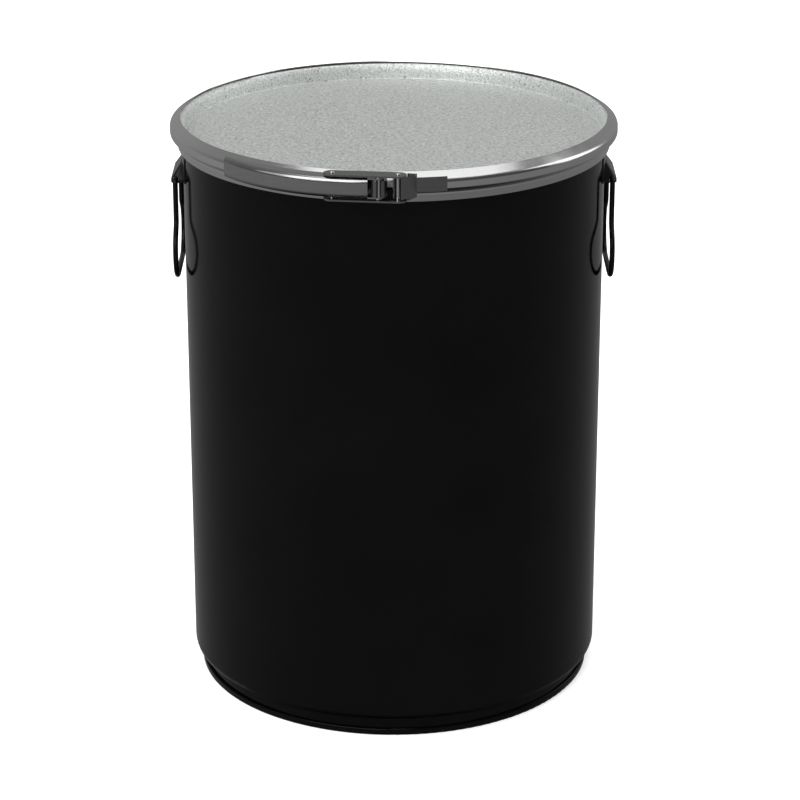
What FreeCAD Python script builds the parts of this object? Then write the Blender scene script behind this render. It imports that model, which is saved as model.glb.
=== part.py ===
import FreeCAD, Part
import math
import os
from FreeCAD import Vector

# Open-head steel drum with a recessed lid and a lever-lock clamp ring.
# Millimetres. Z is up, the drum axis is Z, the floor is Z = 0 and the closure faces -Y.

# ---- drum shell ----
WALL_R = 190.0            # outside of the straight wall
WALL_T = 0.9              # wall sheet
CURL_R = 4.35             # outside radius of the rolled top bead
CURL_Z = 520.17           # height of the bead's centre
CURL_TAIL_R = 191.6       # where the rolled sheet ends
SHOULDER_R = 7.0          # outside radius of the bottom shoulder
SHOULDER_Z = 17.5         # underside of the shoulder

# ---- rolled bottom seam, layers from outside to inside ----
SEAM_R = 183.3            # outermost radius of the seam
SEAM_GAP = 0.05           # gap between the folded layers
HEAD_T = 0.7              # bottom sheet
SEAM_TOP_Z = 6.2
PANEL_Z = 8.6             # middle of the bottom panel

# ---- clamp ring ----
RING_T = 0.9
RING_INNER_TOP = (191.5, 531.0)
RING_SLOPE = 0.625        # drop of the top flange per millimetre of radius
RING_WEB_R = 201.0        # outside of the upright web
RING_NOSE_BEND = 4.4      # bend between flange and web
RING_GAP_LEFT_DEG = -2.1  # ends of the band, measured from the front towards +X
RING_GAP_RIGHT_DEG = -0.23

# ---- lid ----
LID_T = 0.75
LID_FLOOR_Z = 514.8       # top of the recessed floor
LID_WALL_R = 188.0        # inside of the recess
LID_RIM_R = 198.95        # outermost radius of the turned-down rim
LID_RIM_Z = 519.5
LID_UNDER_RING = 0.35     # gap between lid and ring flange
LID_LEAN_DEG = 25.0       # outward lean of the recess wall near its top

# ---- gasket ----
GASKET_T = 1.5
GASKET_R = (192.9, 196.6)

# ---- closure, plan positions of the three pins ----
PIVOT = Vector(-12.6, -209.5, 0)
LINK_PIN = Vector(-51.5, -203.6, 0)
ANCHOR = Vector(3.5, -210.0, 0)
PIVOT_PIN_R = 2.5
PIN_R = 2.0
RUNNING_FIT = 0.05
PRESS_FIT = 0.02

LUG_T = 1.35              # strip the two lugs are bent from
STRAP_R = RING_WEB_R      # inside of the straps welded to the band
STRAP_Z = (515.8, 528.4)
PIVOT_LUG_Z = (515.15, 529.65)
BARREL_R = 6.9            # outside of the loop the pivot pin turns in
ANCHOR_LUG_Z = (513.6, 531.8)

LEVER_Z = (513.6, 531.2)
LEVER_T = 1.2
LEVER_OUTER = ((-22.5, -214.4), (-81.4, -201.4), (-144.5, -149.5))
LEVER_INNER_R = 203.0
LEVER_WEB_END_X = -22.0
LEVER_EDGE_R = 4.4        # rounding along the outer edges
EAR_R = 4.6

LINK_HALF_W = 7.3
LINK_T = 1.4
UPPER_LINK_Z = 532.4
LOWER_LINK_Z = 510.9

# ---- drop handles ----
BAIL_X = 195.4            # plane the wire lies in
BAIL_PIVOT_Z = 477.2
BAIL_WIRE_R = 2.4
BAIL_END_Y = 18.0         # how far each inturned end reaches towards the middle
EAR_HALF_W = 29.5         # half width of the pressed ear at its bottom
EAR_TOP_HALF_W = 20.0
EAR_OUT_X = 199.8
EAR_TOP_X = 191.4
EAR_Z = (473.8, 477.0, 489.5)
EAR_T = 0.9
FLANGE_HALF_W = 39.0
FLANGE_Z = (475.5, 504.0)

Z_AXIS = Vector(0, 0, 1)
ORIGIN = Vector(0, 0, 0)


# ---- helpers ----

def polar(radius, degrees_from_front, z=0.0):
    """Point at a radius, at an angle from the front (-Y) towards +X."""
    a = math.radians(degrees_from_front)
    return Vector(radius * math.sin(a), -radius * math.cos(a), z)


def offset_corners(points, distance):
    """Corners of an open polyline moved sideways to its left."""
    moved = []
    last = len(points) - 1
    for i, (r, z, fillet) in enumerate(points):
        normals = []
        turn = 0.0
        if i > 0:
            normals.append(left_normal(points[i - 1], points[i]))
        if i < last:
            normals.append(left_normal(points[i], points[i + 1]))
        if len(normals) == 2:
            (ax, az), (bx, bz) = normals
            turn = ax * bz - az * bx
            scale = 1.0 + ax * bx + az * bz
            mx = (ax + bx) / scale
            mz = (az + bz) / scale
        else:
            mx, mz = normals[0]
        side = -1.0 if turn > 0 else 1.0
        new_fillet = max(fillet + side * distance, 0.0) if fillet else 0.0
        moved.append((r + mx * distance, z + mz * distance, new_fillet))
    return moved


def left_normal(a, b):
    """Unit vector to the left of the way from a to b."""
    dx = b[0] - a[0]
    dz = b[1] - a[1]
    length = math.hypot(dx, dz)
    return (-dz / length, dx / length)


def rounded_edges(points):
    """Lines and tangent arcs through a polyline in the XZ plane."""
    edges = []
    at = Vector(points[0][0], 0, points[0][1])
    for i in range(1, len(points)):
        corner = Vector(points[i][0], 0, points[i][1])
        fillet = points[i][2]
        if i == len(points) - 1 or fillet <= 0:
            if (corner - at).Length > 1e-6:
                edges.append(Part.makeLine(at, corner))
            at = corner
            continue
        after = Vector(points[i + 1][0], 0, points[i + 1][1])
        before = Vector(points[i - 1][0], 0, points[i - 1][1])
        way_in = (corner - before).normalize()
        way_out = (after - corner).normalize()
        half = way_in.getAngle(way_out) / 2.0
        reach = fillet * math.tan(half)
        start = corner - way_in * reach
        end = corner + way_out * reach
        inward = (way_out - way_in).normalize()
        middle = corner + inward * (fillet / math.cos(half) - fillet)
        if (start - at).Length > 1e-6:
            edges.append(Part.makeLine(at, start))
        edges.append(Part.Arc(start, middle, end).toShape())
        at = end
    return edges


def sheet_section(points, thickness):
    """Closed section of a bent sheet whose middle line runs through points (radius, z, bend)."""
    one = offset_corners(points, thickness / 2.0)
    other = offset_corners(points, -thickness / 2.0)
    edges = rounded_edges(one)
    back = rounded_edges(other)
    edges.append(Part.makeLine(edges[-1].Vertexes[-1].Point, back[-1].Vertexes[-1].Point))
    edges.append(Part.makeLine(edges[0].Vertexes[0].Point, back[0].Vertexes[0].Point))
    wire = Part.Wire(Part.__sortEdges__(edges + back))
    return Part.Face(wire)


def spin(face, degrees=360.0, start_degrees=0.0):
    """Turn a section in the XZ plane round the drum axis."""
    placed = face.copy()
    placed.rotate(ORIGIN, Z_AXIS, start_degrees)
    return placed.revolve(ORIGIN, Z_AXIS, degrees)


def cylinder(centre, radius, low, high):
    return Part.makeCylinder(radius, high - low, Vector(centre.x, centre.y, low), Z_AXIS)


def slab(points, low, high):
    """Upright prism over a closed plan polygon of (x, y) corners."""
    corners = [Vector(x, y, low) for x, y in points]
    wire = Part.makePolygon(corners + [corners[0]])
    return Part.Face(wire).extrude(Vector(0, 0, high - low))


def strip_run(a, b, thickness, low, high):
    """Upright flat strip between two plan points, with rounded ends."""
    along = (b - a).normalize()
    side = Vector(-along.y, along.x, 0) * (thickness / 2.0)
    corners = [(p.x, p.y) for p in (a + side, b + side, b - side, a - side)]
    flat = slab(corners, low, high)
    for end in (a, b):
        flat = flat.fuse(cylinder(end, thickness / 2.0, low, high))
    return flat


def plate_between(a, b, thickness, lows, highs):
    """Upright flat plate between two plan points, its lower and upper edges sloping."""
    along = (b - a).normalize()
    side = Vector(-along.y, along.x, 0) * (thickness / 2.0)
    corners = [
        Vector(a.x, a.y, lows[0]),
        Vector(b.x, b.y, lows[1]),
        Vector(b.x, b.y, highs[1]),
        Vector(a.x, a.y, highs[0]),
    ]
    face = Part.Face(Part.makePolygon(corners + [corners[0]]))
    face.translate(side * -1.0)
    return face.extrude(side * 2.0)


def join(shapes):
    whole = shapes[0].multiFuse(shapes[1:])
    return whole.removeSplitter()


def curved_strap(inner_r, thickness, start_deg, end_deg, low, high):
    """Strip bent round the drum, between two angles from the front."""
    outer_r = inner_r + thickness
    section = Part.makePolygon([
        Vector(inner_r, 0, low),
        Vector(outer_r, 0, low),
        Vector(outer_r, 0, high),
        Vector(inner_r, 0, high),
        Vector(inner_r, 0, low),
    ])
    return spin(Part.Face(section), end_deg - start_deg, start_deg - 90.0)


# ---- drum ----

def body_shell():
    middle = WALL_R - WALL_T / 2.0
    bead = CURL_R - WALL_T / 2.0
    far = middle + 2.0 * bead
    shoulder = SHOULDER_Z + WALL_T / 2.0
    hook = SEAM_R - HEAD_T - SEAM_GAP - WALL_T / 2.0
    neck = hook - WALL_T - 2.0 * SEAM_GAP - HEAD_T
    flange_z = HEAD_T + SEAM_GAP + WALL_T / 2.0
    path = [
        (hook, SEAM_TOP_Z - 1.1, 0),
        (hook, flange_z, 0.8),
        (neck, flange_z, 0.8),
        (neck, shoulder, 1.6),
        (middle, shoulder, SHOULDER_R - WALL_T / 2.0),
        (middle, CURL_Z + bead, bead),
        (far, CURL_Z + bead, bead),
        (far, CURL_Z - bead, bead),
        (CURL_TAIL_R, CURL_Z - bead, 0),
    ]
    return spin(sheet_section(path, WALL_T))


def bottom_head():
    outer = SEAM_R - HEAD_T / 2.0
    hook = outer - HEAD_T - WALL_T - 2.0 * SEAM_GAP
    inner = hook - HEAD_T - WALL_T - 2.0 * SEAM_GAP
    top = SEAM_TOP_Z - HEAD_T / 2.0
    path = [
        (hook, 2.1, 0),
        (hook, top, 0.8),
        (outer, top, 0.8),
        (outer, HEAD_T / 2.0, 1.1),
        (inner, HEAD_T / 2.0, 1.1),
        (inner, PANEL_Z, 2.5),
        (0.0, PANEL_Z, 0),
    ]
    return spin(sheet_section(path, HEAD_T))


def bottom_seam_compound():
    outer = SEAM_R - HEAD_T - SEAM_GAP
    inner = outer - WALL_T
    low = SEAM_TOP_Z - 1.05
    high = SEAM_TOP_Z - HEAD_T - 0.05
    section = Part.makePolygon([
        Vector(inner + 0.25, 0, low),
        Vector(outer - 0.25, 0, low),
        Vector(outer - 0.25, 0, high),
        Vector(inner + 0.25, 0, high),
        Vector(inner + 0.25, 0, low),
    ])
    return spin(Part.Face(section))


# ---- lid, gasket and clamp ring ----

def ring_flange_z(radius, below=0.0):
    """Height of the flange's outer surface, or of a parallel surface below it."""
    drop = below * math.hypot(1.0, RING_SLOPE)
    return RING_INNER_TOP[1] - RING_SLOPE * (radius - RING_INNER_TOP[0]) - drop


def lid():
    half = LID_T / 2.0
    depth = RING_T + LID_UNDER_RING + half
    wall = LID_WALL_R + half
    lean = math.tan(math.radians(LID_LEAN_DEG))
    crown_r = 190.7 + half
    crown_z = ring_flange_z(crown_r, depth)
    lean_z = crown_z - (crown_r - wall) / lean
    rim = LID_RIM_R - half
    path = [
        (0.0, LID_FLOOR_Z - half, 0),
        (wall, LID_FLOOR_Z - half, 1.0),
        (wall, lean_z, 11.0),
        (crown_r, crown_z, 2.3),
        (rim, ring_flange_z(rim, depth), 2.0),
        (rim, LID_RIM_Z, 0),
    ]
    return spin(sheet_section(path, LID_T))


def lid_gasket():
    top = RING_T + LID_UNDER_RING + LID_T
    low_r, high_r = GASKET_R
    slope = math.atan(RING_SLOPE)
    shift = GASKET_T * math.sin(slope)
    drop = GASKET_T * math.cos(slope)
    corners = [
        Vector(low_r, 0, ring_flange_z(low_r, top)),
        Vector(high_r, 0, ring_flange_z(high_r, top)),
        Vector(high_r - shift, 0, ring_flange_z(high_r, top) - drop),
        Vector(low_r - shift, 0, ring_flange_z(low_r, top) - drop),
    ]
    return spin(Part.Face(Part.makePolygon(corners + [corners[0]])))


def locking_ring():
    outer = [
        (RING_INNER_TOP[0], RING_INNER_TOP[1], 0),
        (RING_WEB_R, ring_flange_z(RING_WEB_R), RING_NOSE_BEND),
        (RING_WEB_R, 517.5, 1.6),
        (195.2, 513.0, 1.0),
        (195.2, 511.3, 1.0),
        (194.2, 505.4, 0),
    ]
    middle = offset_corners(outer, -RING_T / 2.0)
    sweep = 360.0 + RING_GAP_LEFT_DEG - RING_GAP_RIGHT_DEG
    return spin(sheet_section(middle, RING_T), sweep, RING_GAP_RIGHT_DEG - 90.0)


# ---- closure lugs ----

def tangent_point(point, centre, radius, side):
    """Where a line from a point touches a circle; side +1 or -1 picks which of the two."""
    away = centre - point
    gap = away.Length
    reach = math.sqrt(gap * gap - radius * radius)
    turn = side * math.asin(radius / gap)
    along = Vector(away.x, away.y, 0).normalize()
    turned = Vector(
        along.x * math.cos(turn) - along.y * math.sin(turn),
        along.x * math.sin(turn) + along.y * math.cos(turn),
        0,
    )
    return point + turned * reach


def ring_pivot_lug():
    """Strap welded to the band, carrying a thick slotted barrel for the pivot pin."""
    low, high = PIVOT_LUG_Z
    bore = PIVOT_PIN_R + RUNNING_FIT
    middle = BARREL_R - LUG_T / 2.0
    base_r = STRAP_R + LUG_T / 2.0
    left_foot = polar(base_r, -6.6)
    right_foot = polar(base_r, -2.0)
    left_top = tangent_point(left_foot, PIVOT, middle, -1)
    right_top = tangent_point(right_foot, PIVOT, middle, 1)
    barrel = cylinder(PIVOT, BARREL_R, low, high)
    loop = join([
        curved_strap(STRAP_R, LUG_T, -17.0, -2.0, *STRAP_Z),
        curved_strap(STRAP_R, LUG_T, -7.3, -2.0, low, high),
        strip_run(left_foot, left_top, LUG_T, low, high),
        strip_run(right_foot, right_top, LUG_T, low, high),
        barrel,
    ])
    loop = loop.cut(cylinder(PIVOT, bore, low - 1, high + 1))
    slot = 2.05
    window = slab(
        [(PIVOT.x - slot, PIVOT.y), (PIVOT.x + slot, PIVOT.y),
         (PIVOT.x + slot, PIVOT.y - 8), (PIVOT.x - slot, PIVOT.y - 8)],
        low - 1, high + 1)
    return loop.cut(window)


def ring_anchor_lug():
    """Strap welded to the band, rising to an open hook that the anchor pin drops into."""
    low, high = ANCHOR_LUG_Z
    half = LUG_T / 2.0
    base_r = STRAP_R + half
    arm = PIVOT - LINK_PIN
    out = Vector(arm.y, -arm.x, 0).normalize()
    side = Vector(-out.y, out.x, 0)
    pocket = 2.5 + half
    floor = ANCHOR - out * (PIN_R + 0.5 + half)
    left_floor = floor - side * pocket
    left_lip = left_floor + out * 5.4
    right_floor = floor + side * pocket
    right_lip = right_floor + out * 8.4 + side * 0.5
    heel = polar(base_r, 5.3)
    foot = polar(base_r, 0.35)
    flare_end = heel + (right_lip - heel) * 0.567
    flare = plate_between(heel, flare_end, LUG_T, (low - 1.9, low - 2.5), (high, high + 2.9))
    return join([
        flare,
        curved_strap(STRAP_R, LUG_T, 5.3, 12.75, *STRAP_Z),
        curved_strap(STRAP_R, LUG_T, 0.35, 5.3, low + 2.2, high - 3.4),
        strip_run(heel, right_lip, LUG_T, low, high),
        strip_run(right_lip, right_floor, LUG_T, low, high),
        strip_run(right_floor, left_floor, LUG_T, low, high),
        strip_run(left_floor, left_lip, LUG_T, low, high),
        strip_run(foot, left_floor, LUG_T, low + 2.2, high - 3.4),
    ])


# ---- lever, links and pins ----

def lever_outline():
    """Closed plan outline of the lever's flanges."""
    start, middle, tip = [Vector(x, y, 0) for x, y in LEVER_OUTER]
    inner_tip = polar(LEVER_INNER_R, -44.6)
    inner_mid = polar(LEVER_INNER_R, -26.0)
    inner_end = polar(LEVER_INNER_R, -8.5)
    ear_front = PIVOT + Vector(0, -EAR_R, 0)
    ear_end = PIVOT + Vector(EAR_R, 0, 0)
    ear_back = PIVOT + Vector(0, EAR_R, 0)
    return [
        Part.Arc(tip, middle, start).toShape(),
        Part.makeLine(start, ear_front),
        Part.Arc(ear_front, ear_end, ear_back).toShape(),
        Part.makeLine(ear_back, inner_end),
        Part.Arc(inner_end, inner_mid, inner_tip).toShape(),
        Part.makeLine(inner_tip, tip),
    ]


def lever_circle():
    """Centre and radius of the lever's outer face."""
    (ax, ay), (bx, by), (cx, cy) = LEVER_OUTER
    d = 2.0 * (ax * (by - cy) + bx * (cy - ay) + cx * (ay - by))
    aa = ax * ax + ay * ay
    bb = bx * bx + by * by
    cc = cx * cx + cy * cy
    ux = (aa * (by - cy) + bb * (cy - ay) + cc * (ay - by)) / d
    uy = (aa * (cx - bx) + bb * (ax - cx) + cc * (bx - ax)) / d
    return Vector(ux, uy, 0), math.hypot(ax - ux, ay - uy)


def rounded_disc(centre, radius, low, high, bend):
    """Thick disc with both rims rounded."""
    disc = cylinder(centre, radius, low, high)
    rims = [e for e in disc.Edges if len(e.Vertexes) == 1 and e.Length > 2.0 * radius]
    return disc.makeFillet(bend, rims)


def closure_lever():
    low, high = LEVER_Z
    centre, radius = lever_circle()
    outline = Part.Face(Part.Wire(lever_outline()))
    block = outline.extrude(Vector(0, 0, high - low))
    block.translate(Vector(0, 0, low))
    ears_from = LEVER_WEB_END_X
    beside = slab([(ears_from, -190), (ears_from, -230), (0, -230), (0, -190)], low, high)
    before_ears = slab(
        [(ears_from, -212.4), (PIVOT.x, PIVOT.y - EAR_R), (PIVOT.x, -230), (ears_from, -230)],
        low, high)
    arm = block.common(rounded_disc(centre, radius, low, high, LEVER_EDGE_R)).cut(beside)
    ears = block.common(beside).cut(before_ears)
    block = join([arm, ears])
    inside_low = low + LEVER_T
    inside_high = high - LEVER_T
    hollow = rounded_disc(
        centre, radius - LEVER_T, inside_low, inside_high, LEVER_EDGE_R - LEVER_T)
    end = slab(
        [(LEVER_WEB_END_X, -190), (LEVER_WEB_END_X, -230), (0, -230), (0, -190)],
        inside_low, inside_high)
    ear_edge = slab(
        [(LEVER_WEB_END_X, -190), (LEVER_WEB_END_X, -230), (-150, -230), (-150, -190)],
        inside_low, inside_high)
    channel = hollow.common(ear_edge)
    beyond = slab([(-160, -120), (-20, -120), (-20, -198), (-160, -198)], inside_low, inside_high)
    channel = channel.fuse(hollow.common(beyond))
    shape = block.cut(channel).cut(end)
    for pin, hole in ((PIVOT, PIVOT_PIN_R + PRESS_FIT), (LINK_PIN, PIN_R + RUNNING_FIT)):
        shape = shape.cut(cylinder(pin, hole, low - 1, high + 1))
    return shape


def toggle_link(low):
    """Flat plate with round ends between the link pin and the anchor pin."""
    high = low + LINK_T
    along = (ANCHOR - LINK_PIN).normalize()
    side = Vector(-along.y, along.x, 0) * LINK_HALF_W
    corners = [LINK_PIN + side, ANCHOR + side, ANCHOR - side, LINK_PIN - side]
    plate = slab([(p.x, p.y) for p in corners], low, high)
    for pin in (LINK_PIN, ANCHOR):
        plate = plate.fuse(cylinder(pin, LINK_HALF_W, low, high))
    plate = plate.removeSplitter()
    for pin in (LINK_PIN, ANCHOR):
        plate = plate.cut(cylinder(pin, PIN_R + PRESS_FIT, low - 1, high + 1))
    return plate


def link_pin(centre):
    """Plain pin through both links, its ends standing just proud of them."""
    low = LOWER_LINK_Z - 0.6
    high = UPPER_LINK_Z + LINK_T + 1.2
    pin = cylinder(centre, PIN_R, low, high)
    rims = {e.BoundBox.ZMin: e for e in pin.Edges if e.Length > 12.0 and len(e.Vertexes) == 1}
    pin = pin.makeFillet(0.9, [rims[max(rims)]])
    rims = [e for e in pin.Edges if e.Length > 12.0 and e.BoundBox.ZMax < low + 0.1]
    return pin.makeFillet(0.5, rims)


def lever_pivot_pin():
    """Pin riveted over both ears of the lever."""
    low, high = LEVER_Z
    shank = cylinder(PIVOT, PIVOT_PIN_R, low - 0.9, high + 0.8)
    upper = cylinder(PIVOT, PIVOT_PIN_R + 1.0, high, high + 0.8)
    lower = cylinder(PIVOT, PIVOT_PIN_R + 0.8, low - 0.9, low)
    return join([shank, upper, lower])


# ---- drop handles ----

def ear_outline(out_x, half_w, corner, z):
    """Plan outline of the pressed ear at one height: two square corners, two rounded ones."""
    back = 180.0
    k = corner * (1.0 - math.sqrt(0.5))
    a = Vector(back, -half_w, z)
    b = Vector(out_x - corner, -half_w, z)
    b_mid = Vector(out_x - k, -half_w + k, z)
    c = Vector(out_x, -half_w + corner, z)
    d = Vector(out_x, half_w - corner, z)
    d_mid = Vector(out_x - k, half_w - k, z)
    e = Vector(out_x - corner, half_w, z)
    f = Vector(back, half_w, z)
    edges = [
        Part.makeLine(a, b),
        Part.Arc(b, b_mid, c).toShape(),
        Part.makeLine(c, d),
        Part.Arc(d, d_mid, e).toShape(),
        Part.makeLine(e, f),
        Part.makeLine(f, a),
    ]
    return Part.Wire(edges)


def ear_block(inset, low, knee, top):
    """Solid wedge of the ear, drawn inwards by the sheet thickness for its hollow."""
    lower = ear_outline(EAR_OUT_X - inset, EAR_HALF_W - inset, 3.6 - inset, low)
    knee_wire = ear_outline(EAR_OUT_X - inset, EAR_HALF_W - inset, 3.6 - inset, knee)
    upper = ear_outline(EAR_TOP_X - inset, EAR_TOP_HALF_W - inset, 2.0 - inset, top)
    skirt = Part.makeLoft([lower, knee_wire], True, True)
    hood = Part.makeLoft([knee_wire, upper], True, True)
    return skirt.fuse(hood)


def handle_bracket():
    """Pressed ear on the +X side: hood and skirt raised from a plate spot-welded to the wall."""
    low, knee, top = EAR_Z
    outside = ear_block(0.0, low, knee, top)
    inside = ear_block(EAR_T, low - 1.0, knee, top - EAR_T)
    hood = outside.cut(inside)
    span = math.degrees(math.asin(FLANGE_HALF_W / WALL_R))
    sheet = curved_strap(WALL_R, EAR_T, 90.0 - span, 90.0 + span, *FLANGE_Z)
    sheet = sheet.cut(inside)
    wall = Part.makeCylinder(WALL_R, 60, Vector(0, 0, 460), Z_AXIS)
    ear = join([hood.cut(wall), sheet])
    hole = Part.makeCylinder(
        BAIL_WIRE_R + RUNNING_FIT, 100, Vector(BAIL_X, -50, BAIL_PIVOT_Z), Vector(0, 1, 0))
    return ear.cut(hole)


def bail_side(sign):
    """Half of the wire's middle line: inturned end, straight arm, flare and round corner."""
    def at(y, z):
        return Vector(BAIL_X, sign * y, z)

    def arc(start, centre, radius, degrees, end):
        a = math.radians(degrees)
        middle = at(centre[0] + radius * math.cos(a), centre[1] + radius * math.sin(a))
        return Part.Arc(start, middle, end).toShape()

    bend = 3.3
    arm_y = 34.2
    flare = math.radians(50.0)
    wide_y = 52.4
    wide_z = 414.0
    upper_r = 20.0
    lower_r = 26.0
    neck_r = 8.0
    p0 = at(BAIL_END_Y, BAIL_PIVOT_Z)
    p1 = at(arm_y - bend, BAIL_PIVOT_Z)
    p2 = at(arm_y, BAIL_PIVOT_Z - bend)
    upper_y = wide_y - upper_r
    slope_y = upper_y + upper_r * math.cos(flare)
    slope_z = wide_z + upper_r * math.sin(flare)
    neck_y = arm_y + neck_r * (1.0 - math.cos(flare))
    neck_z = slope_z + (slope_y - neck_y) / math.tan(flare)
    arm_z = neck_z + neck_r * math.sin(flare)
    p3 = at(arm_y, arm_z)
    p4 = at(neck_y, neck_z)
    p5 = at(slope_y, slope_z)
    p6 = at(wide_y, wide_z)
    p7 = at(wide_y - lower_r, wide_z - lower_r)
    return [
        Part.makeLine(p0, p1),
        arc(p1, (arm_y - bend, BAIL_PIVOT_Z - bend), bend, 45.0, p2),
        Part.makeLine(p2, p3),
        arc(p3, (arm_y + neck_r, arm_z), neck_r, 205.0, p4),
        Part.makeLine(p4, p5),
        arc(p5, (upper_y, wide_z), upper_r, 25.0, p6),
        arc(p6, (wide_y - lower_r, wide_z), lower_r, -45.0, p7),
    ], p7


def handle_bail():
    """Bent-wire drop handle on the +X side, hanging straight down."""
    right, right_end = bail_side(1.0)
    left, left_end = bail_side(-1.0)
    path = Part.Wire(Part.__sortEdges__(right + [Part.makeLine(right_end, left_end)] + left))
    start = Vector(BAIL_X, BAIL_END_Y, BAIL_PIVOT_Z)
    section = Part.Wire(Part.makeCircle(BAIL_WIRE_R, start, Vector(0, 1, 0)))
    return path.makePipeShell([section], True, True)


def on_left(shape):
    turned = shape.copy()
    turned.rotate(ORIGIN, Z_AXIS, 180.0)
    return turned


def main():
    bracket = handle_bracket()
    bail = handle_bail()
    parts = {
        "body_shell": body_shell(),
        "bottom_head": bottom_head(),
        "bottom_seam_compound": bottom_seam_compound(),
        "right_handle_bracket": bracket,
        "left_handle_bracket": on_left(bracket),
        "right_handle_bail": bail,
        "left_handle_bail": on_left(bail),
        "lid": lid(),
        "lid_gasket": lid_gasket(),
        "locking_ring": locking_ring(),
        "ring_pivot_lug": ring_pivot_lug(),
        "ring_anchor_lug": ring_anchor_lug(),
        "closure_lever": closure_lever(),
        "upper_link": toggle_link(UPPER_LINK_Z),
        "lower_link": toggle_link(LOWER_LINK_Z),
        "lever_pivot_pin": lever_pivot_pin(),
        "lever_link_pin": link_pin(LINK_PIN),
        "anchor_pin": link_pin(ANCHOR),
    }
    os.makedirs("parts", exist_ok=True)
    for name, shape in parts.items():
        shape.exportStep("parts/" + name + ".step")


main()
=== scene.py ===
import math

import bpy
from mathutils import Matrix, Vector


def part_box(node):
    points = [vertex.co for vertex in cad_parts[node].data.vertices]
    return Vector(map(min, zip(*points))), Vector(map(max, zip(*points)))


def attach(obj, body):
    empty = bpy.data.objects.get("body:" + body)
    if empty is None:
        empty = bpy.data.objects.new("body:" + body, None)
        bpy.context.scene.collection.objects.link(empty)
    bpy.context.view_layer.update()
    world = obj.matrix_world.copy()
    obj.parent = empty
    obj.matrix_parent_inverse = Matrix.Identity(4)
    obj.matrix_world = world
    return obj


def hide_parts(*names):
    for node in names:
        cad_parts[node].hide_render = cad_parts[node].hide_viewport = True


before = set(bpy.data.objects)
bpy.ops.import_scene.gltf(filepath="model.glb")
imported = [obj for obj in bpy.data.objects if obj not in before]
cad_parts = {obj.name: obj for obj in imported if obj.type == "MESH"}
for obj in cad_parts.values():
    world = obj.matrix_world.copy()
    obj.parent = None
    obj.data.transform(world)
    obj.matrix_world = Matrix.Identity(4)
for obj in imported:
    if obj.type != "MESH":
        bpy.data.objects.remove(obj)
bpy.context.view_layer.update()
DRUM_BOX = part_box("body_shell")
RING_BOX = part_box("locking_ring")
DRUM_TOP = RING_BOX[1][2]


# ---------------------------------------------------------------- node helpers

ARC_R = 0.2               # radius at which an angle round the drum becomes an arc length
EDGE_LEAN = (0.995, 0.8)  # cosines between which a leaning normal goes from flat to edge


def new_material(name):
    """An empty material with a Principled shader; returns the material, its tree and the shader."""
    material = bpy.data.materials.new(name)
    material.use_nodes = True
    tree = material.node_tree
    tree.nodes.clear()
    out = tree.nodes.new("ShaderNodeOutputMaterial")
    shader = tree.nodes.new("ShaderNodeBsdfPrincipled")
    tree.links.new(shader.outputs["BSDF"], out.inputs["Surface"])
    return material, tree, shader


def add(tree, kind, values=None, **settings):
    """A node with its settings and the values of its unlinked sockets."""
    node = tree.nodes.new(kind)
    for key, value in settings.items():
        setattr(node, key, value)
    for key, value in (values or {}).items():
        node.inputs[key].default_value = value
    return node


def link(tree, source, target):
    tree.links.new(source, target)


def object_point(tree):
    return add(tree, "ShaderNodeTexCoord").outputs["Object"]


def math_node(tree, operation, first, second=None):
    """One step of arithmetic on one or two values, each a number or a socket."""
    node = add(tree, "ShaderNodeMath", operation=operation)
    for socket, value in zip(node.inputs, (first, second)):
        if value is None:
            continue
        if isinstance(value, (int, float)):
            socket.default_value = value
        else:
            link(tree, value, socket)
    return node.outputs[0]


def round_the_drum(tree, point):
    """Coordinates that run round the drum: arc length, height and radius, in metres."""
    parts = add(tree, "ShaderNodeSeparateXYZ")
    link(tree, point, parts.inputs[0])
    x, y, z = parts.outputs
    angle = math_node(tree, "ARCTAN2", x, y)
    radius = math_node(tree, "SQRT", math_node(
        tree, "ADD", math_node(tree, "MULTIPLY", x, x), math_node(tree, "MULTIPLY", y, y)))
    joined = add(tree, "ShaderNodeCombineXYZ")
    link(tree, math_node(tree, "MULTIPLY", angle, ARC_R), joined.inputs[0])
    link(tree, z, joined.inputs[1])
    link(tree, radius, joined.inputs[2])
    return joined.outputs[0]


def noise(tree, point, scale, detail=4.0, rough=0.5, stretch=None):
    """Procedural noise, optionally stretched along the axes."""
    if stretch is not None:
        mapping = add(tree, "ShaderNodeMapping", {"Scale": stretch})
        link(tree, point, mapping.inputs["Vector"])
        point = mapping.outputs["Vector"]
    node = add(tree, "ShaderNodeTexNoise", {"Scale": scale, "Detail": detail, "Roughness": rough})
    link(tree, point, node.inputs["Vector"])
    return node.outputs["Fac"]


def cells(tree, point, scale):
    """Distance to the nearest of many scattered points."""
    node = add(tree, "ShaderNodeTexVoronoi", {"Scale": scale})
    link(tree, point, node.inputs["Vector"])
    return node.outputs["Distance"]


def remap(tree, source, low, high, to_low, to_high):
    """The source's range low..high stretched to to_low..to_high and held there outside it."""
    node = add(tree, "ShaderNodeMapRange",
               {"From Min": low, "From Max": high, "To Min": to_low, "To Max": to_high})
    link(tree, source, node.inputs["Value"])
    return node.outputs["Result"]


def ramp(tree, source, stops):
    """Colour ramp from (position, grey or colour) stops."""
    node = add(tree, "ShaderNodeValToRGB")
    elements = node.color_ramp.elements
    while len(elements) > 1:
        elements.remove(elements[-1])
    for i, (place, colour) in enumerate(stops):
        item = elements[0] if i == 0 else elements.new(place)
        item.position = place
        item.color = (*as_colour(colour), 1.0)
    link(tree, source, node.inputs["Fac"])
    return node.outputs["Color"]


def as_colour(value):
    """A grey as three equal parts; a colour as it is."""
    return value if isinstance(value, tuple) else (value, value, value)


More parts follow.
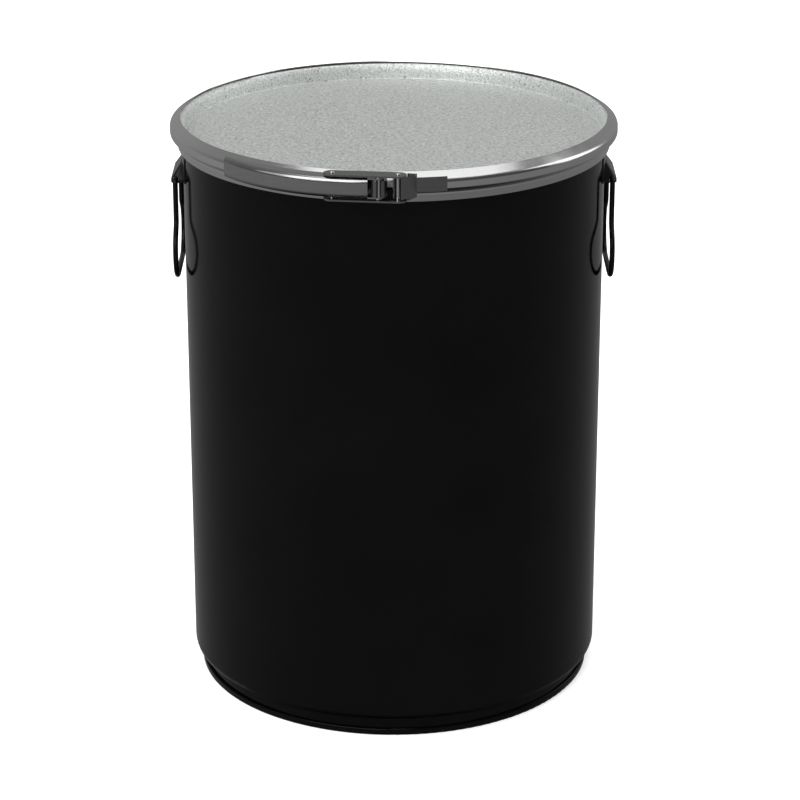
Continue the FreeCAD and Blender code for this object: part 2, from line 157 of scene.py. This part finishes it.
def mix_colour(tree, factor, first, second):
    """First colour where the factor is 0, second where it is 1."""
    node = add(tree, "ShaderNodeMix", data_type="RGBA")
    link(tree, factor, node.inputs["Factor"])
    for socket, value in ((node.inputs["A"], first), (node.inputs["B"], second)):
        if isinstance(value, tuple):
            socket.default_value = (*value, 1.0)
        else:
            link(tree, value, socket)
    return node.outputs["Result"]


def bump(tree, height, strength, distance, shader, under=None):
    """Surface relief, laid over an earlier bump when there is one."""
    node = add(tree, "ShaderNodeBump", {"Strength": strength, "Distance": distance})
    link(tree, height, node.inputs["Height"])
    if under is not None:
        link(tree, under.outputs["Normal"], node.inputs["Normal"])
    link(tree, node.outputs["Normal"], shader.inputs["Normal"])
    return node


def edge_wear(tree, reach):
    """1 on sharp edges, 0 on flat faces: how far the rounded normal leans from the true one."""
    bevel = add(tree, "ShaderNodeBevel", {"Radius": reach}, samples=4)
    geometry = add(tree, "ShaderNodeNewGeometry")
    dot = add(tree, "ShaderNodeVectorMath", operation="DOT_PRODUCT")
    link(tree, bevel.outputs[0], dot.inputs[0])
    link(tree, geometry.outputs["Normal"], dot.inputs[1])
    return remap(tree, dot.outputs["Value"], *EDGE_LEAN, 0.0, 1.0)


# ---------------------------------------------------------------- materials

ENAMEL_SPECULAR = 0.156
LID_METALLIC = 0.72
LID_DARK = (0.40, 0.415, 0.402)
LID_LIGHT = (0.69, 0.708, 0.692)
LID_SPECK = (0.25, 0.26, 0.25)
# painted sheen: these lighter wall tones stand in for the light the recess wall and rim catch; the grain
# in them is the coating's own
SHEEN_WALL_DARK = (0.55, 0.57, 0.555)
SHEEN_WALL_LIGHT = (0.83, 0.85, 0.835)
LID_FLOOR_R = 0.1866      # radius where the lid's matt floor ends
LID_WALL_R = 0.1876       # radius where its grained recess wall, painted lighter as sheen, begins
EDGE_REACH = 0.0006       # width of the worn line along a strip's edges
STREAK_STRETCH = (0.06, 5.0, 5.0)


def gloss_paint(name, grey, roughness, peel):
    """Black enamel: a smooth coat with faint orange peel and slow changes of gloss."""
    material, tree, shader = new_material(name)
    point = object_point(tree)
    tone = ramp(tree, noise(tree, point, 14.0, 6.0), [(0.3, grey * 0.8), (0.7, grey * 1.3)])
    link(tree, tone, shader.inputs["Base Color"])
    shader.inputs["IOR"].default_value = 1.5
    shader.inputs["Specular IOR Level"].default_value = ENAMEL_SPECULAR
    slow = remap(tree, noise(tree, point, 7.0, 5.0), 0.3, 0.7, roughness * 0.75, roughness * 1.35)
    link(tree, slow, shader.inputs["Roughness"])
    bump(tree, noise(tree, point, 240.0, 2.0), peel, 0.001, shader)
    return material


def galvanised_lid():
    """Dull zinc coating: fine mottle with scattered darker specks, and on the drawn wall and rim a grain
    painted lighter as sheen for the light they catch.
    """
    material, tree, shader = new_material("galvanised_lid")
    point = object_point(tree)
    shader.inputs["Metallic"].default_value = LID_METALLIC
    mottle = ramp(tree, noise(tree, point, 330.0, 4.0, 0.7), [(0.34, LID_DARK), (0.64, LID_LIGHT)])
    specks = remap(tree, cells(tree, point, 230.0), 0.14, 0.26, 1.0, 0.0)
    chosen = remap(tree, noise(tree, point, 150.0, 2.0), 0.5, 0.55, 0.0, 1.0)
    dark = math_node(tree, "MULTIPLY", specks, chosen)
    parts = add(tree, "ShaderNodeSeparateXYZ")
    link(tree, round_the_drum(tree, point), parts.inputs[0])
    # painted sheen: from the wall's radius outwards the lid takes a lighter grained colour in place of
    # the light falling on the wall and rim
    wall_sheen_mask = remap(tree, parts.outputs[2], LID_FLOOR_R, LID_WALL_R, 0.0, 1.0)
    grain = noise(tree, point, 620.0, 3.0, 0.7)
    wall_grain_and_sheen = ramp(tree, grain, [(0.4, SHEEN_WALL_DARK), (0.6, SHEEN_WALL_LIGHT)])
    mottle = mix_colour(tree, wall_sheen_mask, mottle, wall_grain_and_sheen)
    tone = mix_colour(tree, dark, mottle, LID_SPECK)
    link(tree, tone, shader.inputs["Base Color"])
    gloss = remap(tree, noise(tree, point, 300.0, 4.0), 0.3, 0.7, 0.36, 0.56)
    link(tree, gloss, shader.inputs["Roughness"])
    fine = bump(tree, noise(tree, point, 700.0, 3.0), 0.5, 0.0005, shader)
    bump(tree, noise(tree, point, 420.0, 3.0), 0.8, 0.001, shader, under=fine)
    return material


def rolled_metal(name, colour, roughness, wear=0.3, streak=1.0):
    """Zinc-coated strip: streaks along its length, satin gloss and, with wear, brighter edges."""
    material, tree, shader = new_material(name)
    point = object_point(tree)
    along = round_the_drum(tree, point)
    shader.inputs["Metallic"].default_value = 1.0
    streaks = noise(tree, along, 160.0, 5.0, 0.6, stretch=STREAK_STRETCH)
    tone = ramp(tree, streaks, [
        (0.32, tuple(c * (1.0 - 0.07 * streak) for c in colour)),
        (0.68, tuple(c * (1.0 + 0.05 * streak) for c in colour))])
    worn = math_node(tree, "MULTIPLY", edge_wear(tree, EDGE_REACH), wear)
    bright = tuple(min(c * 1.5, 0.9) for c in colour)
    link(tree, mix_colour(tree, worn, tone, bright), shader.inputs["Base Color"])
    gloss = remap(tree, noise(tree, point, 90.0, 4.0), 0.3, 0.7, roughness * 0.85, roughness * 1.2)
    link(tree, gloss, shader.inputs["Roughness"])
    bump(tree, streaks, 0.04 * streak, 0.0003, shader)
    return material


def plain_rubber(name, grey):
    """Dull black rubber or sealing compound with a slight grain."""
    material, tree, shader = new_material(name)
    point = object_point(tree)
    tone = ramp(tree, noise(tree, point, 300.0, 3.0), [(0.3, grey * 0.8), (0.7, grey * 1.3)])
    link(tree, tone, shader.inputs["Base Color"])
    shader.inputs["Roughness"].default_value = 0.6
    bump(tree, noise(tree, point, 800.0, 2.0), 0.2, 0.0003, shader)
    return material


black = gloss_paint("black_paint", 0.0012, 0.11, 0.015)
hardware = gloss_paint("black_hardware", 0.006, 0.16, 0.03)
wire = gloss_paint("black_wire", 0.0022, 0.14, 0.03)
lid_steel = galvanised_lid()
band = rolled_metal("galvanised_band", (0.70, 0.702, 0.70), 0.2, wear=0.0, streak=0.4)
lever_zinc = rolled_metal("zinc_closure", (0.42, 0.422, 0.42), 0.2)
link_zinc = rolled_metal("zinc_links", (0.28, 0.282, 0.28), 0.25)
lug_zinc = rolled_metal("zinc_lugs", (0.25, 0.251, 0.25), 0.25)
pin = rolled_metal("bright_pin", (0.72, 0.72, 0.72), 0.1)
rubber = plain_rubber("gasket_rubber", 0.02)
compound = plain_rubber("seam_compound", 0.06)

LOOK = {
    "body_shell": black, "bottom_head": black, "bottom_seam_compound": compound,
    "left_handle_bracket": hardware, "right_handle_bracket": hardware,
    "left_handle_bail": wire, "right_handle_bail": wire,
    "lid": lid_steel, "lid_gasket": rubber, "locking_ring": band,
    "ring_pivot_lug": lug_zinc, "ring_anchor_lug": lug_zinc, "closure_lever": lever_zinc,
    "upper_link": link_zinc, "lower_link": link_zinc,
    "lever_pivot_pin": pin, "lever_link_pin": pin, "anchor_pin": pin,
}

for node_name, material in LOOK.items():
    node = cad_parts[node_name]
    node.data.materials.clear()
    node.data.materials.append(material)


# ---------------------------------------------------------------- pieces made here

def mesh_piece(name, points, faces, material, body):
    """A closed mesh that rides on a body."""
    mesh = bpy.data.meshes.new(name)
    mesh.from_pydata(points, [], faces)
    mesh.validate()
    mesh.shade_smooth()
    mesh.materials.append(material)
    piece = bpy.data.objects.new(name, mesh)
    bpy.context.scene.collection.objects.link(piece)
    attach(piece, body)
    return piece


# ---------------------------------------------------------------- clamp ring

RING_T = 0.0009
RING_GAP_DEG = (-2.1, -0.23)   # ends of the band, from the front (-Y) towards +X
RING_FLANGE_W = 0.0095    # how far the top flange reaches inwards
RING_FLANGE_FALL = 0.0059375   # how far the flange falls on its way out to the web
RING_NOSE_BEND = 0.0044
RING_WEB_BEND = 0.0016
RING_GROOVE_BEND = 0.001
RING_WEB_FOOT = 0.0135    # depths below the ring's top
RING_GROOVE_TOP = 0.018
RING_GROOVE_FOOT = 0.0197
RING_GROOVE_IN = 0.0058   # how far the section steps in below the web
RING_SKIRT_IN = 0.0068
RING_STEPS = 900
BEND_STEPS = 12


def bent_path(corners):
    """Points and left-hand normals along straight runs joined by tangent arcs; (r, z, bend) corners."""
    points = []
    count = len(corners)
    for i, (r, z, bend) in enumerate(corners):
        here = Vector((r, z))
        way_in = (here - Vector(corners[i - 1][:2])).normalized() if i > 0 else None
        way_out = (Vector(corners[i + 1][:2]) - here).normalized() if i < count - 1 else None
        if way_in is None or way_out is None:
            way = way_in or way_out
            points.append((here, Vector((-way.y, way.x))))
            continue
        turn = way_in.angle_signed(way_out)
        reach = bend * math.tan(abs(turn) / 2.0)
        start = here - way_in * reach
        normal_in = Vector((-way_in.y, way_in.x))
        side = 1.0 if turn > 0.0 else -1.0
        centre = start - normal_in * bend * side
        for k in range(BEND_STEPS + 1):
            a = -turn * k / BEND_STEPS
            normal = Vector((
                normal_in.x * math.cos(a) - normal_in.y * math.sin(a),
                normal_in.x * math.sin(a) + normal_in.y * math.cos(a)))
            points.append((centre + normal * bend * side, normal))
    return points


def clamp_ring():
    """The band at full smoothness: its bent section turned round the drum, open at the front."""
    web_r = RING_BOX[1][0]
    low = RING_BOX[0][2]
    corners = [
        (web_r - RING_FLANGE_W, DRUM_TOP, 0.0),
        (web_r, DRUM_TOP - RING_FLANGE_FALL, RING_NOSE_BEND),
        (web_r, DRUM_TOP - RING_WEB_FOOT, RING_WEB_BEND),
        (web_r - RING_GROOVE_IN, DRUM_TOP - RING_GROOVE_TOP, RING_GROOVE_BEND),
        (web_r - RING_GROOVE_IN, DRUM_TOP - RING_GROOVE_FOOT, RING_GROOVE_BEND),
        (web_r - RING_SKIRT_IN, low, 0.0),
    ]
    path = bent_path(corners)
    outside = [at for at, _ in path]
    inside = [at - normal * RING_T for at, normal in path]
    loop = outside + inside[::-1]
    size = len(loop)
    gap_left, gap_right = RING_GAP_DEG
    points = []
    for i in range(RING_STEPS + 1):
        a = math.radians(gap_right + (360.0 + gap_left - gap_right) * i / RING_STEPS)
        for at in loop:
            points.append((at.x * math.sin(a), -at.x * math.cos(a), at.y))
    faces = []
    for i in range(RING_STEPS):
        for k in range(size):
            n = (k + 1) % size
            faces.append((i * size + k, i * size + n, (i + 1) * size + n, (i + 1) * size + k))
    for k in range(len(outside) - 1):
        quad = (k, size - 1 - k, size - 2 - k, k + 1)
        faces.append(quad)
        faces.append(tuple(RING_STEPS * size + c for c in reversed(quad)))
    piece = mesh_piece("clamp_ring", points, faces, band, "ring")
    piece.data.set_sharp_from_angle(angle=math.radians(40.0))
    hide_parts("locking_ring")


clamp_ring()


# ---------------------------------------------------------------- welds

WALL_R = 0.190            # outside of the straight wall
WALL_FOOT = 0.0255        # where the straight wall begins above the floor
BEAD_HEIGHT = 0.0105      # from the shell's top edge down to the straight wall
FLANGE_R = WALL_R + 0.0009     # outside of the plate welded to the wall
SEAM_HALF_W = 0.0019
SEAM_CROWN = 0.00032      # height of the side weld over the wall
SEAM_RIPPLE = 0.00007
SEAM_PITCH = 0.0085       # spacing of its ripples
SEAM_SUNK = 0.0004        # depth of its hidden underside in the wall
SPOT_IN = 0.0047          # from the flange's side edge to the marks
SPOT_RISE = (0.0062, 0.0142)   # heights of the marks above the bracket's lower edge


def side_weld():
    """Flattened seam down the back of the shell, where the rolled sheet's two edges meet."""
    low = WALL_FOOT
    high = DRUM_BOX[1][2] - BEAD_HEIGHT
    rows = 240
    across = 9
    points = []
    for i in range(rows + 1):
        z = low + (high - low) * i / rows
        fade = min(1.0, 6.0 * i / rows, 6.0 * (rows - i) / rows)
        for k in range(across):
            s = 2.0 * k / (across - 1) - 1.0
            wave = SEAM_RIPPLE * math.sin(2.0 * math.pi * (z / SEAM_PITCH + 0.35 * s * s))
            r = WALL_R - 0.00005 + (1.0 - s * s) * (SEAM_CROWN + wave) * fade
            a = s * SEAM_HALF_W / WALL_R
            points.append((r * math.sin(a), r * math.cos(a), z))
        for s in (1.0, -1.0):
            a = s * SEAM_HALF_W / WALL_R
            r = WALL_R - SEAM_SUNK
            points.append((r * math.sin(a), r * math.cos(a), z))
    ring = across + 2
    faces = []
    for i in range(rows):
        for k in range(ring):
            n = (k + 1) % ring
            faces.append((i * ring + k, (i + 1) * ring + k, (i + 1) * ring + n, i * ring + n))
    faces.append(tuple(range(ring)))
    faces.append(tuple(rows * ring + k for k in reversed(range(ring))))
    mesh_piece("side_weld", points, faces, black, "drum")


def spot_welds(side):
    """Shallow electrode marks on the two flanges of a handle bracket; side is +1 or -1 in X."""
    word = "right" if side > 0 else "left"
    low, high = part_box(word + "_handle_bracket")
    profile = [  # radius and height over the plate, from the dimple's middle to the sunk rim
        (0.0011, -0.00006), (0.0019, 0.00012), (0.0025, 0.00016),
        (0.0030, -0.00004), (0.0030, -0.0003)]
    around = 24
    points = []
    faces = []
    for y_sign in (1.0, -1.0):
        for rise in SPOT_RISE:
            z = low[2] + rise
            a = y_sign * (high[1] - SPOT_IN) / FLANGE_R
            out = Vector((side * math.cos(a), math.sin(a), 0.0))
            along = Vector((-math.sin(a), side * math.cos(a), 0.0))
            base = len(points)
            for r, h in profile:
                for k in range(around):
                    t = 2.0 * math.pi * k / around
                    at = out * (FLANGE_R + h) + along * (r * math.cos(t))
                    points.append((at.x, at.y, z + r * math.sin(t)))
            for j in range(len(profile) - 1):
                for k in range(around):
                    n = (k + 1) % around
                    one = base + j * around
                    two = one + around
                    faces.append((one + k, two + k, two + n, one + n))
            faces.append(tuple(base + k for k in range(around)))
            last = base + (len(profile) - 1) * around
            faces.append(tuple(last + k for k in reversed(range(around))))
    mesh_piece(word + "_spot_welds", points, faces, hardware, "drum")


side_weld()
spot_welds(1.0)
spot_welds(-1.0)


# ---------------------------------------------------------------- stage

FLOOR_R = 7.0
COVE_R = 2.0
COVE_TOP = 5.0
COVE_STEPS = 12
BOWL_SIDES = 96
FLOOR_COLOUR = (0.86, 0.86, 0.86, 1.0)
FLOOR_GLOW = 0.3          # the floor's own light, which thins out the drum's shadow


def studio_bowl():
    """Plain pale floor that curves up into a wall all round."""
    profile = [(0.0, 0.0), (FLOOR_R - COVE_R, 0.0)]
    for i in range(1, COVE_STEPS + 1):
        a = math.radians(90.0 * i / COVE_STEPS)
        profile.append((FLOOR_R - COVE_R + COVE_R * math.sin(a), COVE_R * (1.0 - math.cos(a))))
    profile.append((FLOOR_R, COVE_TOP))
    points = []
    for r, z in profile[1:]:
        for k in range(BOWL_SIDES):
            a = 2.0 * math.pi * k / BOWL_SIDES
            points.append((r * math.cos(a), r * math.sin(a), z))
    points.append((0.0, 0.0, 0.0))
    centre = len(points) - 1
    faces = [(centre, k, (k + 1) % BOWL_SIDES) for k in range(BOWL_SIDES)]
    for ring in range(len(profile) - 2):
        for k in range(BOWL_SIDES):
            low = ring * BOWL_SIDES
            high = low + BOWL_SIDES
            n = (k + 1) % BOWL_SIDES
            faces.append((low + k, high + k, high + n, low + n))
    mesh = bpy.data.meshes.new("studio_floor")
    mesh.from_pydata(points, [], faces)
    mesh.shade_smooth()
    bowl = bpy.data.objects.new("studio_floor", mesh)
    bpy.context.scene.collection.objects.link(bowl)
    material, tree, shader = new_material("studio_floor")
    shader.inputs["Base Color"].default_value = FLOOR_COLOUR
    shader.inputs["Roughness"].default_value = 0.9
    shader.inputs["Specular IOR Level"].default_value = 0.0
    shader.inputs["Emission Color"].default_value = (1.0, 1.0, 1.0, 1.0)
    shader.inputs["Emission Strength"].default_value = FLOOR_GLOW
    mesh.materials.append(material)
    bowl.visible_glossy = False


def studio_world():
    """Dim room for reflections: black straight down, and darker in front than behind higher up."""
    world = bpy.data.worlds.new("studio")
    world.use_nodes = True
    tree = world.node_tree
    parts = add(tree, "ShaderNodeSeparateXYZ")
    link(tree, add(tree, "ShaderNodeTexCoord").outputs["Generated"], parts.inputs[0])
    x, y, z = parts.outputs
    height = remap(tree, z, -1.0, 1.0, 0.0, 1.0)
    front = ramp(tree, height, ROOM_BELOW + ROOM_FRONT)
    back = ramp(tree, height, ROOM_BELOW + ROOM_BACK)
    behind = remap(tree, y, -0.2, 0.8, 0.0, 1.0)
    tone = mix_colour(tree, behind, front, back)
    background = tree.nodes["Background"]
    link(tree, tone, background.inputs["Color"])
    link(tree, remap(tree, x, -0.9, 0.9, ROOM_LEFT, ROOM_RIGHT), background.inputs["Strength"])
    bpy.context.scene.world = world


def area_light(name, size, radiance):
    """Rectangular light of a given brightness, facing down and hidden from the camera."""
    data = bpy.data.lights.new(name, "AREA")
    data.shape = "RECTANGLE"
    data.size, data.size_y = size
    data.energy = radiance * math.pi * size[0] * size[1]
    obj = bpy.data.objects.new(name, data)
    obj.visible_camera = False
    bpy.context.scene.collection.objects.link(obj)
    return obj


def softbox(name, azimuth, elevation, size, radiance):
    """Light aimed at the middle of the lid; azimuth turns from the front (-Y) towards +X."""
    az = math.radians(azimuth)
    el = math.radians(elevation)
    away = Vector((math.sin(az) * math.cos(el), -math.cos(az) * math.cos(el), math.sin(el)))
    obj = area_light(name, size, radiance)
    obj.location = Vector((0.0, 0.0, DRUM_TOP)) + away * SOFTBOX_DISTANCE
    obj.rotation_euler = (-away).to_track_quat("-Z", "Y").to_euler()


def overhead_panel(name, middle, size, radiance):
    """Level light above the lid, its middle at (x, y)."""
    obj = area_light(name, size, radiance)
    obj.location = (middle[0], middle[1], DRUM_TOP + PANEL_HEIGHT)


def overhead_fill(irradiance, spread_degrees):
    """Broad soft light from above that whitens the floor and is kept out of reflections."""
    data = bpy.data.lights.new("overhead_fill", "SUN")
    data.energy = irradiance
    data.angle = math.radians(spread_degrees)
    obj = bpy.data.objects.new("overhead_fill", data)
    obj.rotation_euler = (FILL_TILT[0], FILL_TILT[1], 0.0)
    obj.visible_glossy = False
    bpy.context.scene.collection.objects.link(obj)


# The room's brightness against height: 0 is straight down, 0.5 the horizon and 1 straight up.
ROOM_BELOW = [(0.0, 0.0), (0.07, 0.04), (0.18, 0.16), (0.36, 0.23), (0.44, 0.23)]
ROOM_FRONT = [(0.56, 0.06), (0.8, 0.07), (1.0, 0.2)]
ROOM_BACK = [(0.5, 0.27), (0.75, 0.26), (1.0, 0.2)]
ROOM_LEFT = 1.2
ROOM_RIGHT = 0.88
SOFTBOX_DISTANCE = 2.5
PANEL_HEIGHT = 1.8        # above the lid
FILL_TILT = (math.radians(8.0), math.radians(-6.0))

studio_bowl()
studio_world()
overhead_fill(2.6, 100.0)
overhead_panel("overhead_softbox", (0.13, 0.155), (1.74, 1.21), 1.05)
softbox("right_softbox", 107.0, 27.0, (1.5, 1.95), 1.4)
softbox("front_left_softbox", -32.0, 40.0, (2.1, 2.2), 2.5)
softbox("left_edge_softbox", -68.0, 33.0, (0.9, 1.3), 0.8)
bpy.context.scene.view_settings.view_transform = "Standard"


# ---------------------------------------------------------------- camera

CAMERA_AT = Vector((0.0, -2.47541, 1.18933))
PITCH = math.radians(20.6815)  # downwards
YAW = math.radians(0.1278)     # towards +X
LENS_MM = 127.70
SENSOR_MM = 36.0
CLIP_END = 100.0
forward = Vector((math.sin(YAW) * math.cos(PITCH), math.cos(YAW) * math.cos(PITCH), -math.sin(PITCH)))
camera_data = bpy.data.cameras.new("camera")
camera_data.lens = LENS_MM
camera_data.sensor_width = SENSOR_MM
camera_data.clip_end = CLIP_END
camera = bpy.data.objects.new("camera", camera_data)
camera.location = CAMERA_AT
camera.rotation_euler = forward.to_track_quat("-Z", "Y").to_euler()
bpy.context.scene.collection.objects.link(camera)
bpy.context.scene.camera = camera
